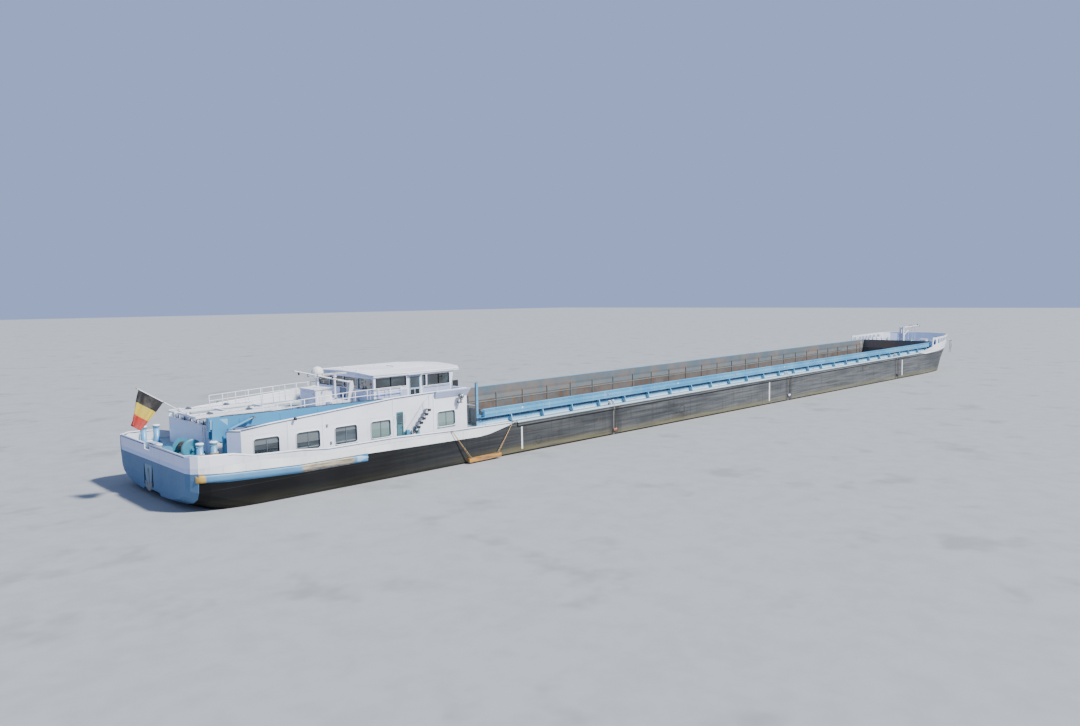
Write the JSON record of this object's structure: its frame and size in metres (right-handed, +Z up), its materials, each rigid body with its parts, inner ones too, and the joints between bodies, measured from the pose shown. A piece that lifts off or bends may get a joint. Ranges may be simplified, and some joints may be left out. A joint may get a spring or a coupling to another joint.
{
  "type": "river barge, 1:10 scale model",
  "caption": "Self-propelled river barge with an open cargo hold, a deckhouse and rising wheelhouse aft, a folding crane and raised white bulwarks at bow and stern.",
  "frame": {"origin": "middle of the flat bottom, amidships on the centreline", "axes": "+X towards the bow, +Y to port, +Z up"},
  "size_m": [11.0573, 1.178, 0.8153],
  "materials": {
    "hull_black": "weathered matt",
    "white_paint": "semi-gloss, dirt runs",
    "coaming_blue": "satin, chalky",
    "boom_blue": "semi-gloss",
    "turquoise_paint": "semi-gloss",
    "deck_grey": "matt, non-slip",
    "galvanised_steel": "dull",
    "black_paint": "matt",
    "fender_timber": "rough, worn",
    "dark_glass": "tinted",
    "window_lining": "dark blinds behind panes",
    "bronze": "dull",
    "engine_green": "painted",
    "flag_cloth": "plain weave",
    "upholstery": "satin",
    "dome_plastic": "smooth"
  },
  "bodies": {
    "vessel": {"gunwale_starboard": "hull_black", "gunwale_port": "hull_black", "hull": "hull_black", "nozzle": "hull_black", "main_engine": "engine_green", "coaming_starboard": "coaming_blue", "coaming_port": "coaming_blue", "coaming_aft": "coaming_blue", "coaming_forward": "coaming_blue", "stern_bulwark": "white_paint", "bow_bulwark": "white_paint", "house_walls": "white_paint", "mast_base": "white_paint", "car_platform": "white_paint", "roof_railing_starboard": "white_paint", "roof_railing_port": "white_paint", "aft_ladder": "white_paint", "foredeck_gear": "white_paint", "house_roof": "deck_grey", "lift_guide": "deck_grey", "house_glazing": "window_lining", "stern_deck_gear": "turquoise_paint", "side_stair_starboard": "black_paint", "side_stair_port": "black_paint", "stern_anchor": "galvanised_steel", "bow_anchor_starboard": "galvanised_steel", "bow_anchor_port": "galvanised_steel", "searchlight": "galvanised_steel", "satellite_dome": "dome_plastic", "crane_column": "boom_blue", "flag": "flag_cloth", "side_fender": "fender_timber"},
    "propeller": {"propeller": "bronze"},
    "rudder_starboard": {"rudder_starboard": "hull_black"},
    "rudder_port": {"rudder_port": "hull_black"},
    "crane_boom": {"crane_boom": "boom_blue"},
    "crane_jib": {"crane_jib": "boom_blue"},
    "lift_cylinder": {"lift_cylinder": "boom_blue"},
    "lift_rod": {"lift_rod": "galvanised_steel"},
    "wheelhouse": {"wheelhouse_walls": "white_paint", "wheelhouse_glass": "dark_glass", "wheelhouse_roof": "white_paint", "helm_console": "upholstery", "helm_chair": "upholstery", "lift_column": "galvanised_steel"},
    "wheelhouse_door_starboard": {"wheelhouse_door_starboard": "white_paint"},
    "wheelhouse_door_port": {"wheelhouse_door_port": "white_paint"},
    "signal_board": {"signal_board": "black_paint"},
    "house_door_starboard": {"house_door_starboard": "turquoise_paint"},
    "house_door_port": {"house_door_port": "turquoise_paint"},
    "signal_mast": {"signal_mast": "white_paint"},
    "radar_scanner": {"radar_scanner": "dome_plastic"},
    "foremast": {"foremast": "white_paint"},
    "stern_winch_drum": {"stern_winch_drum": "turquoise_paint"},
    "bow_winch_drum": {"bow_winch_drum": "white_paint"}
  },
  "joints": [
    {"name": "propeller_spin", "type": "hinge", "parent": "vessel", "child": "propeller", "pos_m": [-5.03, 0, 0.11], "axis": [1, 0, 0], "continuous": true},
    {"name": "rudder_starboard_turn", "type": "hinge", "parent": "vessel", "child": "rudder_starboard", "pos_m": [-5.2, -0.05, 0.11], "axis": [0, 0, 1], "range_deg": [-60, 60]},
    {"name": "rudder_port_turn", "type": "hinge", "parent": "vessel", "child": "rudder_port", "pos_m": [-5.2, 0.05, 0.11], "axis": [0, 0, 1], "range_deg": [-60, 60]},
    {"name": "crane_lift", "type": "hinge", "parent": "vessel", "child": "crane_boom", "pos_m": [-5.3, -0.39, 0.592], "axis": [0, -1, 0], "range_deg": [0, 60]},
    {"name": "crane_extend", "type": "slide", "parent": "crane_boom", "child": "crane_jib", "axis": [1, 0, 0], "range_m": [0, 0.3]},
    {"name": "lift_cylinder_pivot", "type": "hinge", "parent": "vessel", "child": "lift_cylinder", "pos_m": [-5.238, -0.425, 0.556], "axis": [0, -1, 0], "range_deg": [0, 64]},
    {"name": "lift_rod_slide", "type": "slide", "parent": "lift_cylinder", "child": "lift_rod", "axis": [0.9358, 0, 0.3526], "range_m": [0, 0.072]},
    {"name": "wheelhouse_lift", "type": "slide", "parent": "vessel", "child": "wheelhouse", "axis": [0, 0, 1], "range_m": [0, 0.4]},
    {"name": "wheelhouse_door_starboard_swing", "type": "hinge", "parent": "wheelhouse", "child": "wheelhouse_door_starboard", "pos_m": [-3.952, -0.3555, 0.597], "axis": [0, 0, 1], "range_deg": [0, 90]},
    {"name": "wheelhouse_door_port_swing", "type": "hinge", "parent": "wheelhouse", "child": "wheelhouse_door_port", "pos_m": [-3.952, 0.3555, 0.597], "axis": [0, 0, -1], "range_deg": [0, 90]},
    {"name": "signal_board_swing", "type": "hinge", "parent": "wheelhouse", "child": "signal_board", "pos_m": [-3.682, -0.347, 0.649], "axis": [0, 0, -1], "range_deg": [0, 90]},
    {"name": "house_door_starboard_swing", "type": "hinge", "parent": "vessel", "child": "house_door_starboard", "pos_m": [-4.241, -0.5005, 0.382], "axis": [0, 0, -1], "range_deg": [0, 90]},
    {"name": "house_door_port_swing", "type": "hinge", "parent": "vessel", "child": "house_door_port", "pos_m": [-4.241, 0.5005, 0.382], "axis": [0, 0, 1], "range_deg": [0, 90]},
    {"name": "signal_mast_fold", "type": "hinge", "parent": "vessel", "child": "signal_mast", "pos_m": [-4.355, -0.175, 0.711], "axis": [0, 1, 0], "range_deg": [0, 74]},
    {"name": "radar_spin", "type": "hinge", "parent": "vessel", "child": "radar_scanner", "pos_m": [-4.406, -0.075, 0.756], "axis": [0, 0, 1], "continuous": true},
    {"name": "foremast_fold", "type": "hinge", "parent": "vessel", "child": "foremast", "pos_m": [4.825, 0, 0.657], "axis": [0, -1, 0], "range_deg": [0, 82]},
    {"name": "stern_winch_turn", "type": "hinge", "parent": "vessel", "child": "stern_winch_drum", "pos_m": [-5.392, -0.232, 0.4623], "axis": [0, 1, 0], "continuous": true},
    {"name": "bow_winch_turn", "type": "hinge", "parent": "vessel", "child": "bow_winch_drum", "pos_m": [5, 0, 0.4403], "axis": [0, 1, 0], "continuous": true}
  ],
  "couplings": [
    {"joint": "rudder_port_turn", "follows": "rudder_starboard_turn", "ratio": 1},
    {"joint": "lift_cylinder_pivot", "follows": "crane_lift", "ratio": 1.05},
    {"joint": "lift_rod_slide", "follows": "crane_lift", "m_per_rad": 0.0679}
  ]
}
